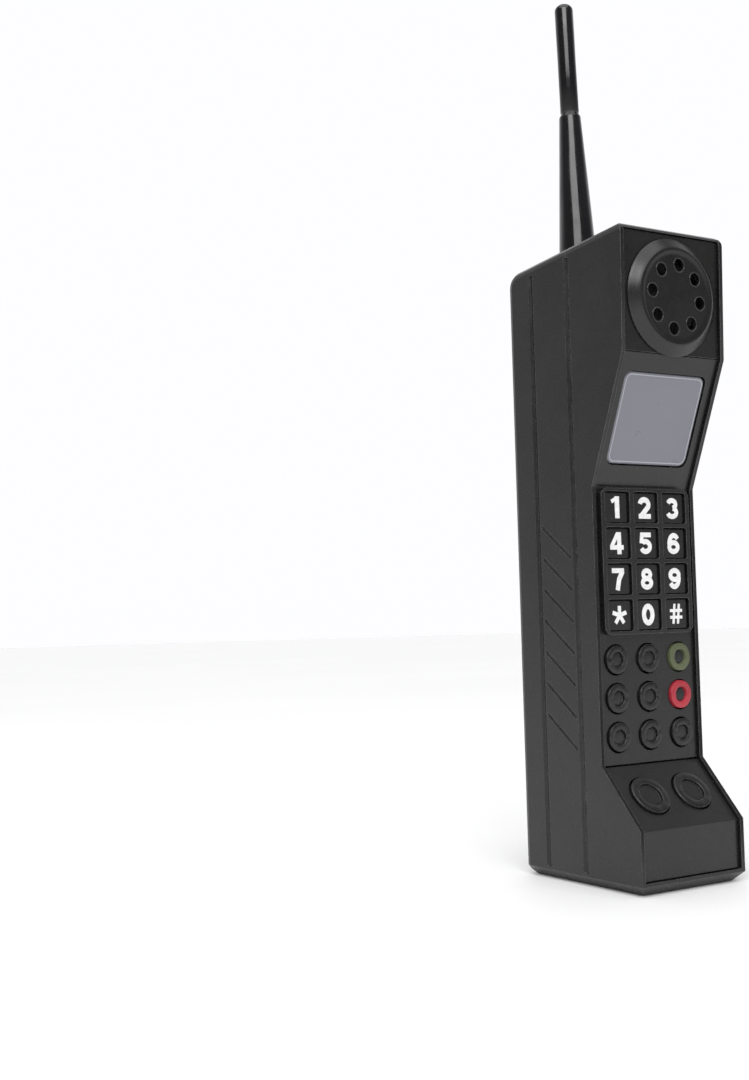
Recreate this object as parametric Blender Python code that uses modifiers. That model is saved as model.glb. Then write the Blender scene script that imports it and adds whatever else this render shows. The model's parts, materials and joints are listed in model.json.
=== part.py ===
"""Retro brick handset toy, modelled as an assembly of separate pieces.

Metres, +Z up. The handset stands on its foot, its keys face -Y, and the origin is on the
floor under the middle of its bounding box. Run with: blender --background --python part.py
"""

import math

import bmesh
import bpy
from mathutils import Matrix, Vector

MM = 0.001
GAP = 0.3 * MM  # between pieces that touch

# Housing. Its side outline is given as (depth from the back, height) corners.
WIDTH = 50.0 * MM
WALL = 2.4 * MM
RIM = 1.6 * MM  # width of the edge that frames the panels
CROWN = (65.0 * MM, 235.4 * MM)  # top front corner
BROW = (63.6 * MM, 189.5 * MM)  # under the earpiece
SADDLE = (45.3 * MM, 143.3 * MM)  # under the display
HEEL = (45.3 * MM, 43.4 * MM)  # under the small buttons
CHIN = (64.1 * MM, 22.5 * MM)  # under the large buttons
TOE = (64.1 * MM, 0.0)  # bottom front corner
NAPE = (0.0, 229.0 * MM)  # top back corner
FRONT_LINE = (CROWN, BROW, SADDLE, HEEL, CHIN, TOE)
SIDES = (("left", -1), ("right", 1))
CROWN_ROUND = 3.4 * MM
NAPE_ROUND = 6.0 * MM
EDGE_ROUND = 3.0 * MM
FOOT_CHAMFER = 3.5 * MM
FLOOR = 4.0 * MM  # thickness of the housing's bottom
PARTING = 35.0 * MM  # depth of the joint between the housing halves

# Side grooves and finger-grip lines
GROOVE_WIDTH = 2.8 * MM
GROOVE_DEEP = 1.0 * MM
REAR_GROOVE = 14.3 * MM  # depth of its middle
REAR_GROOVE_SPAN = (4.2 * MM, 226.6 * MM)
FRONT_GROOVE_SPAN = (4.0 * MM, 228.8 * MM)
GRIP_COUNT = 7
GRIP_LOWEST = 54.7 * MM
GRIP_PITCH = 11.6 * MM
GRIP_ANGLE = math.radians(37)
GRIP_LENGTH = 21.0 * MM
GRIP_WIDTH = 1.5 * MM
GRIP_DEEP = 0.7 * MM

# Front panels
RECESS = 1.2 * MM  # below the rims
PANEL = 2.0 * MM
PANEL_TOP = 2.6 * MM  # from the crown to the earpiece panel's edge
PANEL_FOOT = 4.9 * MM
LEDGE_SEAM = 0.6 * MM  # open seam over the slope
LEDGE = 0.9 * MM

# Earpiece
EAR_DOWN = 25.2 * MM  # centre, below the crown
EAR_RADIUS = 21.3 * MM
EAR_FACE_RADIUS = 16.9 * MM
EAR_PROUD = 2.2 * MM  # past the rims
EAR_SKIN = 1.8 * MM
EAR_HOLES = 8
EAR_HOLE_RADIUS = 2.3 * MM
EAR_HOLE_CIRCLE = 11.6 * MM
EAR_HOLE_TURN = math.radians(-7)
SPEAKER_RADIUS = 17.5 * MM

# Display
DISPLAY_WIDTH = 39.2 * MM
DISPLAY_HEIGHT = 34.2 * MM
DISPLAY_DOWN = 24.4 * MM  # centre, below the brow
DISPLAY_ROUND = 3.2 * MM
DISPLAY_THICK = 1.6 * MM
DISPLAY_SUNK = 0.5 * MM

# Number keys
BEZEL_WIDTH = 43.3 * MM
BEZEL_HEIGHT = 53.0 * MM
BEZEL_DOWN = 26.9 * MM  # centre, below the saddle
BEZEL_ROUND = 3.0 * MM
BEZEL_PROUD = 0.9 * MM  # past the rims
KEY_PITCH_X = 13.95 * MM
KEY_PITCH_Z = 13.05 * MM
KEY_WIDTH = 11.3 * MM
KEY_HEIGHT = 10.95 * MM
KEY_FLANGE = 0.5 * MM
KEY_BASE = 3.0 * MM  # thickness of the flange block
KEY_ROUND = 1.0 * MM
KEY_SUNK = 0.9 * MM  # below the bezel's ribs
KEY_TRAVEL = 1.0 * MM
KEY_NAMES = ("1", "2", "3", "4", "5", "6", "7", "8", "9", "star", "0", "hash")

# Ring-shaped buttons
RING_RADIUS = 5.4 * MM
RING_HOLE = 2.35 * MM
RING_PITCH_X = 15.4 * MM
RING_PITCH_Z = 13.9 * MM
RING_DOWN = 76.3 * MM  # middle row, below the saddle
RING_PROUD = 1.1 * MM  # past the panel
BIG_RING_RADIUS = 8.0 * MM
BIG_RING_HOLE = 4.3 * MM
BIG_RING_APART = 20.4 * MM
BIG_RING_DOWN = 13.5 * MM  # below the heel
RING_FLANGE = 0.8 * MM
RING_BASE = 1.0 * MM

# Boards and key mats, as distances behind the panels
MAT = 1.0 * MM
DOME_RADIUS = 3.0 * MM
DOME_TALL = 0.6 * MM
BOARD = 1.6 * MM

# Housing screws: (across, height)
SCREW_PLACES = [(x * MM, z * MM) for z in (17.0, 215.0) for x in (-19.5, 19.5)]
POST_RADIUS = 4.0 * MM
BOSS_RADIUS = 3.5 * MM
BOSS_LONG = 9.0 * MM
SCREW_SHANK = 1.2 * MM
SCREW_HEAD = 2.5 * MM
SCREW_SEAT = 25.0 * MM  # depth of the shoulder under the head
SCREW_LONG = 15.0 * MM

# Batteries
CELL_RADIUS = 5.2 * MM
CELL_LONG = 44.5 * MM
CELL_PITCH = 11.2 * MM
CELLS = 3
DOOR_WIDTH = 39.0 * MM
DOOR_HEIGHT = 60.0 * MM
DOOR_BOTTOM = 66.0 * MM
DOOR_THICK = 2.0 * MM
HOLDER_WIDTH = 36.6 * MM
HOLDER_HEIGHT = 55.0 * MM
HOLDER_SKIN = 1.2 * MM
HOLDER_FRONT = 19.0 * MM  # depth of its closed side
HOLDER_FLANGE = 4.6 * MM  # depth of its flange

# Antenna, which leans back a little
ANTENNA_X = -5.5 * MM
ANTENNA_DEPTH = 20.0 * MM
ANTENNA_LEAN = math.radians(2)
SLEEVE_TALL = 58.7 * MM
SLEEVE_FOOT_RADIUS = 7.3 * MM
SLEEVE_TOP_RADIUS = 4.15 * MM
SLEEVE_BORE = 3.65 * MM
SLEEVE_BORE_FLOOR = 5.0 * MM
STUD_RADIUS = 4.6 * MM
STUD_LONG = 7.5 * MM
ROD_RADIUS = 3.5 * MM
ROD_SHOWN = 45.0 * MM
ROD_HIDDEN = 14.0 * MM

FRONT_MOST = 66.93 * MM  # depth of the earpiece cap's foremost point
BACK_Y = FRONT_MOST / 2
FAR = 100.0 * MM  # reach of a cutter past what it cuts

BLACK = ("satin_black", (0.022, 0.021, 0.021, 1), 0.38, 0.0)
PANEL_BLACK = ("panel_black", (0.030, 0.029, 0.028, 1), 0.42, 0.0)
GLOSS_BLACK = ("gloss_black", (0.012, 0.012, 0.013, 1), 0.16, 0.0)
WINDOW_GREY = ("window_grey", (0.24, 0.24, 0.28, 1), 0.30, 0.0)
OLIVE = ("olive_green", (0.07, 0.09, 0.035, 1), 0.40, 0.0)
RED = ("signal_red", (0.62, 0.02, 0.02, 1), 0.35, 0.0)
RUBBER = ("grey_rubber", (0.12, 0.12, 0.12, 1), 0.80, 0.0)
BOARD_GREEN = ("board_green", (0.02, 0.13, 0.05, 1), 0.45, 0.0)
STEEL = ("zinc_steel", (0.62, 0.62, 0.62, 1), 0.30, 1.0)
BRASS = ("brass", (0.70, 0.52, 0.20, 1), 0.30, 1.0)
CELL_BLUE = ("cell_sleeve", (0.05, 0.10, 0.30, 1), 0.35, 0.0)
PAPER = ("cone_paper", (0.06, 0.06, 0.06, 1), 0.90, 0.0)

for leftover in list(bpy.data.objects):
    bpy.data.objects.remove(leftover)

parts = bpy.data.collections.new("brick_phone")
cutters = bpy.data.collections.new("cutters")
bpy.context.scene.collection.children.link(parts)
bpy.context.scene.collection.children.link(cutters)


# ---------------------------------------------------------------- outlines

def offset_line(points, distance):
    """The open line moved by distance to its right-hand side, with mitred corners."""
    moved = []
    for start, end in zip(points, points[1:]):
        along = (Vector(end) - Vector(start)).normalized()
        aside = Vector((along.y, -along.x)) * distance
        moved.append((Vector(start) + aside, Vector(end) + aside, along))
    line = [moved[0][0]]
    for (start, _, along), (corner, _, turn) in zip(moved, moved[1:]):
        reach = (corner - start).cross(turn) / along.cross(turn)
        line.append(start + along * reach)
    line.append(moved[-1][1])
    return line


def trimmed(line, cut_start, cut_end):
    """The line with this much cut from each end."""
    line = [Vector(point) for point in line]
    line[0] += (line[1] - line[0]).normalized() * cut_start
    line[-1] += (line[-2] - line[-1]).normalized() * cut_end
    return line


def rounded_corner(before, corner, after, radius, steps):
    """Points of the arc that rounds a corner."""
    corner = Vector(corner)
    to_before = (Vector(before) - corner).normalized()
    to_after = (Vector(after) - corner).normalized()
    half = to_before.angle(to_after) / 2
    bisector = (to_before + to_after).normalized()
    centre = corner + bisector * radius / math.sin(half)
    start = corner + to_before * radius / math.tan(half) - centre
    end = corner + to_after * radius / math.tan(half) - centre
    sweep = start.angle_signed(end)
    return [centre + Matrix.Rotation(-sweep * i / steps, 2) @ start for i in range(steps + 1)]


def world_point(x, depth, height):
    return Vector((x, BACK_Y - depth, height))


# ---------------------------------------------------------------- building blocks

def look(finish):
    """The Principled material of a finish, made once."""
    name, colour, roughness, metallic = finish
    material = bpy.data.materials.get(name)
    if material is None:
        material = bpy.data.materials.new(name)
        material.use_nodes = True
        shader = material.node_tree.nodes["Principled BSDF"]
        shader.inputs["Base Color"].default_value = colour
        shader.inputs["Roughness"].default_value = roughness
        shader.inputs["Metallic"].default_value = metallic
        material.diffuse_color = colour
    return material


def add(name, mesh, finish=None, frame=None, place=(0, 0, 0)):
    """An object of this mesh: a part if it has a finish, and a cutter if it has none."""
    piece = bpy.data.objects.new(name, mesh)
    if finish is None:
        cutters.objects.link(piece)
        piece.hide_render = True
        piece.display_type = "WIRE"
    else:
        parts.objects.link(piece)
        if not mesh.materials:
            mesh.materials.append(look(finish))
    piece.parent = frame
    piece.location = place
    return piece


def to_mesh(name, shape):
    bmesh.ops.recalc_face_normals(shape, faces=shape.faces)
    mesh = bpy.data.meshes.new(name)
    shape.to_mesh(mesh)
    shape.free()
    return mesh


def block(name, low, high):
    """A box between two corners."""
    low, high = Vector(low), Vector(high)
    shape = bmesh.new()
    bmesh.ops.create_cube(shape, size=1)
    bmesh.ops.scale(shape, vec=high - low, verts=shape.verts)
    bmesh.ops.translate(shape, vec=(low + high) / 2, verts=shape.verts)
    return to_mesh(name, shape)


def slab(name, width, height, low, high, radius=0.0, steps=4):
    """A plate centred on the axis, between two levels, with its four corners rounded."""
    shape = bmesh.new()
    bmesh.ops.create_cube(shape, size=1)
    bmesh.ops.scale(shape, vec=(width, height, high - low), verts=shape.verts)
    bmesh.ops.translate(shape, vec=(0, 0, (low + high) / 2), verts=shape.verts)
    if radius:
        upright = [e for e in shape.edges if abs(e.verts[0].co.z - e.verts[1].co.z) > (high - low) / 2]
        bmesh.ops.bevel(shape, geom=upright, offset=radius, segments=steps, profile=0.5, affect="EDGES")
    return to_mesh(name, shape)


def rod(name, radius, low, high, sides=20):
    """A cylinder on the local Z axis, between two levels."""
    shape = bmesh.new()
    depth = high - low
    bmesh.ops.create_cone(shape, cap_ends=True, segments=sides, radius1=radius, radius2=radius, depth=depth)
    bmesh.ops.translate(shape, vec=(0, 0, (low + high) / 2), verts=shape.verts)
    return to_mesh(name, shape)


def prism(name, outline, half_width):
    """A side outline of (depth, height) points, drawn out across the handset."""
    shape = bmesh.new()
    verts = [shape.verts.new(world_point(-half_width, *point)) for point in outline]
    drawn = bmesh.ops.extrude_face_region(shape, geom=[shape.faces.new(verts)])
    moved = [v for v in drawn["geom"] if isinstance(v, bmesh.types.BMVert)]
    bmesh.ops.translate(shape, vec=(2 * half_width, 0, 0), verts=moved)
    return to_mesh(name, shape)


def turned(name, profile, finish, frame=None, place=(0, 0, 0), steps=24):
    """A turned piece: (radius, level) points down its outer side, spun about the local Z axis."""
    mesh = bpy.data.meshes.new(name)
    points = [(radius, 0, level) for radius, level in profile]
    mesh.from_pydata(points, [(i, i + 1) for i in range(len(points) - 1)], [])
    piece = add(name, mesh, finish, frame, place)
    screw = piece.modifiers.new("turn", "SCREW")
    screw.steps = screw.render_steps = steps
    screw.use_merge_vertices = True
    screw.merge_threshold = 0.00001
    screw.use_smooth_shade = True
    return piece


def cut(piece, cutter, operation="DIFFERENCE"):
    change = piece.modifiers.new(cutter.name, "BOOLEAN")
    change.operation = operation
    change.object = cutter
    change.solver = "EXACT"


def smooth(piece, angle=40):
    piece.data.shade_smooth()
    piece.data.set_sharp_from_angle(angle=math.radians(angle))


def face_frame(name, upper, lower):
    """An empty at a front face's upper corner: X across, Y up along the face, Z out of it."""
    start, end = world_point(0, *upper), world_point(0, *lower)
    up = (start - end).normalized()
    across = Vector((1, 0, 0))
    out = across.cross(up)
    frame = bpy.data.objects.new(name, None)
    frame.empty_display_size = 10 * MM
    frame.matrix_world = Matrix.Translation(start) @ Matrix((across, up, out)).transposed().to_4x4()
    parts.objects.link(frame)
    return frame


ear_face = face_frame("ear_face", CROWN, BROW)
display_face = face_frame("display_face", BROW, SADDLE)
key_face = face_frame("key_face", SADDLE, HEEL)
slope_face = face_frame("slope_face", HEEL, CHIN)


# ---------------------------------------------------------------- housing

def body_mesh():
    """The housing's outside as one solid."""
    outline = [*FRONT_LINE[1:], (0.0, 0.0)]
    outline += rounded_corner((0.0, 0.0), NAPE, CROWN, NAPE_ROUND, 5)
    outline += rounded_corner(NAPE, CROWN, BROW, CROWN_ROUND, 4)
    mesh = prism("body", outline, WIDTH / 2)
    shape = bmesh.new()
    shape.from_mesh(mesh)
    foot = [e for e in shape.edges if all(v.co.z < 1e-6 for v in e.verts)]
    bmesh.ops.bevel(shape, geom=foot, offset=FOOT_CHAMFER, segments=1, profile=0.5, affect="EDGES")
    sides = []
    for edge in shape.edges:
        a, b = (v.co for v in edge.verts)
        on_side = abs(abs(a.x) - WIDTH / 2) < 1e-6 and abs(a.x - b.x) < 1e-6
        back = min(a.y, b.y) > BACK_Y - 1e-6 and max(a.z, b.z) > FOOT_CHAMFER + 1e-6
        nape = min(a.z, b.z) > NAPE[1] - 2 * NAPE_ROUND and min(a.y, b.y) > BACK_Y - 2 * NAPE_ROUND
        if on_side and (back or nape):
            sides.append(edge)
    bmesh.ops.bevel(shape, geom=sides, offset=EDGE_ROUND, segments=3, profile=0.5, affect="EDGES")
    bmesh.ops.triangulate(shape, faces=shape.faces)
    bpy.data.meshes.remove(mesh)
    return to_mesh("body", shape)


def top_edge_cutter(name, side):
    """Takes the corner off the roof's edge on one side (-1 or 1), along its slope."""
    arc = rounded_corner((WIDTH / 2, 0), (WIDTH / 2, NAPE[1]), (0, NAPE[1]), EDGE_ROUND, 3)
    clear = WIDTH / 2 + EDGE_ROUND
    outline = [(clear, arc[0].y), *arc, (arc[-1].x, NAPE[1] + EDGE_ROUND), (clear, NAPE[1] + EDGE_ROUND)]
    slope = (CROWN[1] - NAPE[1]) / CROWN[0]
    shape = bmesh.new()
    ends = []
    for depth in (-EDGE_ROUND, CROWN[0] + EDGE_ROUND):
        ends.append([shape.verts.new(world_point(side * x, depth, z + slope * depth)) for x, z in outline])
    for i in range(len(outline)):
        shape.faces.new((ends[0][i - 1], ends[0][i], ends[1][i], ends[1][i - 1]))
    for end in ends:
        shape.faces.new(end)
    bmesh.ops.recalc_face_normals(shape, faces=shape.faces)
    return to_mesh(name, shape)


def groove(name, low, high, width, deep):
    """A tapered bar along local Z, whose narrow side points to +X, for cutting a groove."""
    shape = bmesh.new()
    bmesh.ops.create_cube(shape, size=1)
    bmesh.ops.scale(shape, vec=(2 * deep, width, high - low), verts=shape.verts)
    bmesh.ops.translate(shape, vec=(0, 0, (low + high) / 2), verts=shape.verts)
    for vert in shape.verts:
        if vert.co.x > 0:
            vert.co.y *= 0.5
            vert.co.z -= math.copysign(width / 4, vert.co.z - (low + high) / 2)
        else:
            vert.co.y *= 1.5
    return to_mesh(name, shape)


def side_grooves():
    """Cutters for both sides: [(cutter, halves that it cuts)]."""
    front_bar = groove("front_groove", *FRONT_GROOVE_SPAN, GROOVE_WIDTH, GROOVE_DEEP)
    rear_bar = groove("rear_groove", *REAR_GROOVE_SPAN, GROOVE_WIDTH, GROOVE_DEEP)
    grip_bar = groove("grip", -GRIP_LENGTH / 2, GRIP_LENGTH / 2, GRIP_WIDTH, GRIP_DEEP)
    grooves = []
    for side, sign in SIDES:
        turn = 0.0 if sign < 0 else math.pi
        for label, bar, depth in (("front", front_bar, PARTING), ("rear", rear_bar, REAR_GROOVE)):
            cutter = add(f"{label}_groove_{side}", bar, place=world_point(sign * WIDTH / 2, depth, 0))
            cutter.rotation_euler = (0, 0, turn)
            grooves.append((cutter, label))
        middle = (PARTING + REAR_GROOVE) / 2
        for i in range(GRIP_COUNT):
            height = GRIP_LOWEST + i * GRIP_PITCH
            place = world_point(sign * WIDTH / 2, middle, height)
            cutter = add(f"grip_{side}_{i + 1}", grip_bar, place=place)
            lean = math.pi / 2 - GRIP_ANGLE
            cutter.rotation_euler = (sign * lean, 0, turn)
            grooves.append((cutter, "rear"))
    return grooves


def housing():
    """Two halves, parted in the floor of the front groove."""
    body = body_mesh()
    front = add("front_housing", body, BLACK)
    rear = add("rear_housing", body.copy(), BLACK)

    inner_line = offset_line(FRONT_LINE, RECESS + PANEL + GAP)
    pocket_line = trimmed(inner_line, PANEL_TOP - GAP, PANEL_FOOT - GAP)
    pocket = [*pocket_line, (FAR, pocket_line[-1].y), (FAR, pocket_line[0].y)]
    pocket_cut = add("panel_pocket", prism("pocket", pocket, WIDTH / 2 - RIM))

    slope = (CROWN[1] - NAPE[1]) / CROWN[0]
    ledge_depth = TOE[0] - 2 * (RECESS + PANEL)
    ceiling = pocket_line[0].y - LEDGE
    cavity = [
        (WALL, FLOOR),
        (ledge_depth, FLOOR),
        (ledge_depth, pocket_line[-1].y + LEDGE),
        (FAR, pocket_line[-1].y + LEDGE),
        (FAR, ceiling),
        (ledge_depth, ceiling),
        (ledge_depth, NAPE[1] + slope * ledge_depth - WALL),
        (WALL, NAPE[1] + slope * WALL - NAPE_ROUND / 2),
    ]
    cavity_cut = add("cavity", prism("cavity", cavity, WIDTH / 2 - WALL))

    edge_cuts = [add(f"top_edge_{label}", top_edge_cutter("top_edge", side)) for label, side in SIDES]
    for half in (front, rear):
        for edge_cut in edge_cuts:
            cut(half, edge_cut)
        cut(half, cavity_cut)
    cut(front, pocket_cut)

    low = (-FAR, BACK_Y - PARTING - GAP / 2, -FAR)
    high = (FAR, BACK_Y + FAR, 4 * FAR)
    cut(front, add("rear_side", block("rear_side", low, high)))
    low = (-FAR, BACK_Y - 2 * FAR, -FAR)
    high = (FAR, BACK_Y - PARTING + GAP / 2, 4 * FAR)
    cut(rear, add("front_side", block("front_side", low, high)))

    for cutter, label in side_grooves():
        cut(rear, cutter)
        if label == "front":
            cut(front, cutter)
    return front, rear


def axis_frame(name, x, depth, height):
    """An empty whose local Z points to the back, for screws and their posts."""
    frame = bpy.data.objects.new(name, None)
    frame.empty_display_size = 5 * MM
    frame.location = world_point(x, depth, height)
    frame.rotation_euler = (-math.pi / 2, 0, 0)
    parts.objects.link(frame)
    return frame


def fasten(front, rear):
    """Screw posts in the rear half, bosses in the front half, and the screws."""
    seat = PARTING - SCREW_SEAT  # shoulder, in front of the parting plane in the frame's own Z
    for i, (x, height) in enumerate(SCREW_PLACES, 1):
        frame = axis_frame(f"screw_axis_{i}", x, PARTING, height)
        post = rod("post", POST_RADIUS, GAP / 2, PARTING - WALL / 2)
        cut(rear, add(f"post_{i}", post, frame=frame), "UNION")
        well = rod("well", SCREW_HEAD + GAP, seat, PARTING + WALL)
        cut(rear, add(f"well_{i}", well, frame=frame))
        hole = rod("hole", SCREW_SHANK + GAP, -BOSS_LONG + GAP, seat + WALL)
        cut(rear, add(f"hole_{i}", hole, frame=frame))
        boss = rod("boss", BOSS_RADIUS, -BOSS_LONG, -GAP / 2)
        cut(front, add(f"boss_{i}", boss, frame=frame), "UNION")
        cut(front, add(f"boss_hole_{i}", hole.copy(), frame=frame))
        head = seat + GAP
        profile = [
            (0, head + 1.7 * MM),
            (1.5 * MM, head + 1.6 * MM),
            (SCREW_HEAD - 0.2 * MM, head + 0.9 * MM),
            (SCREW_HEAD - 0.2 * MM, head),
            (SCREW_SHANK, head),
            (SCREW_SHANK, head - SCREW_LONG),
            (0, head - SCREW_LONG - 1.2 * MM),
        ]
        screw = turned(f"housing_screw_{i}", profile, STEEL, frame, steps=16)
        for turn in (0, 1):
            bar = block("slot", (-1.5 * MM, -0.3 * MM, head + 0.7 * MM), (1.5 * MM, 0.3 * MM, head + FAR))
            slot = add(f"slot_{i}_{turn}", bar, frame=frame)
            slot.rotation_euler = (0, 0, turn * math.pi / 2)
            cut(screw, slot)


# ---------------------------------------------------------------- front panels

def panel_strip(first, last, cut_start, cut_end):
    """Side outline of a plate that follows the front line between two of its corners."""
    outer = offset_line(FRONT_LINE, RECESS)[first:last + 1]
    inner = offset_line(FRONT_LINE, RECESS + PANEL)[first:last + 1]
    return trimmed(outer, cut_start, cut_end) + trimmed(inner, cut_start, cut_end)[::-1]


def panels():
    half = WIDTH / 2 - RIM - GAP
    seam = GAP / 2
    plates = []
    for name, first, last, start, end in (
        ("earpiece_panel", 0, 1, PANEL_TOP, seam),
        ("main_panel", 1, 3, seam, LEDGE_SEAM / 2),
        ("lower_panel", 3, 5, LEDGE_SEAM / 2, PANEL_FOOT),
    ):
        mesh = prism(name, panel_strip(first, last, start, end), half)
        plates.append(add(name, mesh, PANEL_BLACK))
    return plates


def earpiece(panel):
    """The conical cap with its sound holes, and the loudspeaker behind the panel."""
    place = (0, -EAR_DOWN, 0)
    base = -RECESS + GAP
    profile = [
        (0, EAR_PROUD),
        (EAR_FACE_RADIUS - 0.6 * MM, EAR_PROUD),
        (EAR_FACE_RADIUS, EAR_PROUD - 0.4 * MM),
        (EAR_RADIUS - 0.3 * MM, base + 0.9 * MM),
        (EAR_RADIUS, base + 0.6 * MM),
        (EAR_RADIUS, base),
        (EAR_RADIUS - EAR_SKIN, base),
        (EAR_FACE_RADIUS - EAR_SKIN, EAR_PROUD - EAR_SKIN),
        (0, EAR_PROUD - EAR_SKIN),
    ]
    cap = turned("earpiece_cap", profile, BLACK, ear_face, place, steps=40)
    for i in range(EAR_HOLES):
        angle = EAR_HOLE_TURN + i * 2 * math.pi / EAR_HOLES
        hole = rod("sound_hole", EAR_HOLE_RADIUS, -FAR / 10, FAR / 10, sides=16)
        spot = (EAR_HOLE_CIRCLE * math.cos(angle), EAR_HOLE_CIRCLE * math.sin(angle) - EAR_DOWN, 0)
        cut(cap, add(f"sound_hole_{i + 1}", hole, frame=ear_face, place=spot))
    mouth = rod("mouth", EAR_FACE_RADIUS - EAR_SKIN, -FAR / 10, FAR / 10, sides=32)
    cut(panel, add("speaker_mouth", mouth, frame=ear_face, place=place))

    top = -RECESS - PANEL - GAP
    basket = [
        (0, top - 9.0 * MM),
        (6.0 * MM, top - 9.0 * MM),
        (SPEAKER_RADIUS - 2.5 * MM, top - 1.0 * MM),
        (SPEAKER_RADIUS - 2.5 * MM, top),
        (SPEAKER_RADIUS, top),
        (SPEAKER_RADIUS, top - 1.5 * MM),
        (11.0 * MM, top - 6.0 * MM),
        (11.0 * MM, top - 12.0 * MM),
        (0, top - 12.0 * MM),
    ]
    turned("speaker_frame", basket, STEEL, ear_face, place, steps=24)
    cone = [
        (0, top - 5.0 * MM),
        (3.5 * MM, top - 5.6 * MM),
        (SPEAKER_RADIUS - 2.9 * MM, top - 0.5 * MM),
        (SPEAKER_RADIUS - 2.9 * MM, top - 0.9 * MM),
        (3.5 * MM, top - 6.2 * MM),
        (0, top - 6.2 * MM),
    ]
    turned("speaker_cone", cone, PAPER, ear_face, place, steps=24)


def display(panel):
    place = (0, -DISPLAY_DOWN, 0)
    width, height = DISPLAY_WIDTH + 2 * GAP, DISPLAY_HEIGHT + 2 * GAP
    opening = slab("opening", width, height, -FAR / 10, FAR / 10, DISPLAY_ROUND)
    cut(panel, add("display_opening", opening, frame=display_face, place=place))
    top = -RECESS - DISPLAY_SUNK
    pane = slab("display_window", DISPLAY_WIDTH, DISPLAY_HEIGHT, top - DISPLAY_THICK, top, DISPLAY_ROUND)
    add("display_window", pane, WINDOW_GREY, display_face, place)
    back = -RECESS - PANEL - 2 * GAP
    plate = slab("display_backing", DISPLAY_WIDTH + 3 * MM, DISPLAY_HEIGHT + 4 * MM, back - MAT, back)
    add("display_backing", plate, BLACK, display_face, place)


# ---------------------------------------------------------------- keys

def grid(columns, rows, pitch_x, pitch_y, middle):
    """Places row by row from the upper left, in a face's own frame."""
    for row in range(rows):
        for column in range(columns):
            x = (column - (columns - 1) / 2) * pitch_x
            yield Vector((x, -middle - (row - (rows - 1) / 2) * pitch_y, 0))


def key_mesh():
    """A square cap with eased edges on a wider flange. Its origin is on the bezel's rib level."""
    top = -KEY_SUNK
    shoulder = -RECESS - GAP
    shape = bmesh.new()
    bmesh.ops.create_cube(shape, size=1)
    size = (KEY_WIDTH + 2 * KEY_FLANGE, KEY_HEIGHT + 2 * KEY_FLANGE, KEY_BASE)
    bmesh.ops.scale(shape, vec=size, verts=shape.verts)
    bmesh.ops.translate(shape, vec=(0, 0, shoulder - BEZEL_PROUD - KEY_BASE / 2), verts=shape.verts)
    front = [f for f in shape.faces if f.normal.z > 0.5]
    bmesh.ops.inset_region(shape, faces=front, thickness=KEY_FLANGE)
    raised = bmesh.ops.extrude_face_region(shape, geom=front)
    verts = [v for v in raised["geom"] if isinstance(v, bmesh.types.BMVert)]
    bmesh.ops.delete(shape, geom=front, context="FACES")
    bmesh.ops.translate(shape, vec=(0, 0, top - verts[0].co.z), verts=verts)
    upright = [e for v in verts for e in v.link_edges if abs(e.verts[0].co.z - e.verts[1].co.z) > GAP]
    bmesh.ops.bevel(shape, geom=upright, offset=KEY_ROUND, segments=2, profile=0.5, affect="EDGES")
    crown = [e for e in shape.edges if all(abs(v.co.z - top) < 1e-7 for v in e.verts)]
    bmesh.ops.bevel(shape, geom=crown, offset=0.5 * MM, segments=2, profile=0.6, affect="EDGES")
    return to_mesh("key", shape)


def number_keys(panel):
    place = Vector((0, -BEZEL_DOWN, 0))
    low, high = -RECESS + GAP, BEZEL_PROUD
    frame = slab("keypad_bezel", BEZEL_WIDTH, BEZEL_HEIGHT, low, high, BEZEL_ROUND)
    bezel = add("keypad_bezel", frame, BLACK, key_face, place)
    span_x = 2 * KEY_PITCH_X + KEY_WIDTH + 2 * (KEY_FLANGE + GAP)
    span_y = 3 * KEY_PITCH_Z + KEY_HEIGHT + 2 * (KEY_FLANGE + GAP)
    opening = slab("keypad_opening", span_x, span_y, -FAR / 10, low, 1 * MM)
    cut(panel, add("keypad_opening", opening, frame=key_face, place=place))
    window = slab("key_window", KEY_WIDTH + 2 * GAP, KEY_HEIGHT + 2 * GAP, -FAR / 10, FAR / 10, 0.8 * MM, 2)
    cap = key_mesh()
    for label, spot in zip(KEY_NAMES, grid(3, 4, KEY_PITCH_X, KEY_PITCH_Z, BEZEL_DOWN)):
        cut(bezel, add(f"key_window_{label}", window, frame=key_face, place=spot))
        key = add(f"key_{label}", cap, BLACK, key_face, spot + Vector((0, 0, BEZEL_PROUD)))
        smooth(key)


def ring_profile(radius, hole, proud):
    """A button whose raised ring stands round a low centre. Level 0 is the panel's face."""
    back = -PANEL - GAP
    return [
        (0, 0.1 * MM),
        (hole - 0.15 * MM, 0.1 * MM),
        (hole + 0.15 * MM, proud - 0.1 * MM),
        (hole + 0.5 * MM, proud),
        (radius - 0.4 * MM, proud),
        (radius, proud - 0.4 * MM),
        (radius, back),
        (radius + RING_FLANGE, back),
        (radius + RING_FLANGE, back - RING_BASE),
        (0, back - RING_BASE),
    ]


def ring_buttons(panel):
    profile = ring_profile(RING_RADIUS, RING_HOLE, RING_PROUD)
    hole = rod("button_hole", RING_RADIUS + GAP, -FAR / 10, FAR / 10, sides=20)
    finishes = {3: OLIVE, 6: RED}
    for i, spot in enumerate(grid(3, 3, RING_PITCH_X, RING_PITCH_Z, RING_DOWN), 1):
        cut(panel, add(f"button_hole_{i}", hole, frame=key_face, place=spot))
        finish = finishes.get(i, BLACK)
        turned(f"function_button_{i}", profile, finish, key_face, spot - Vector((0, 0, RECESS)), steps=20)


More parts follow.
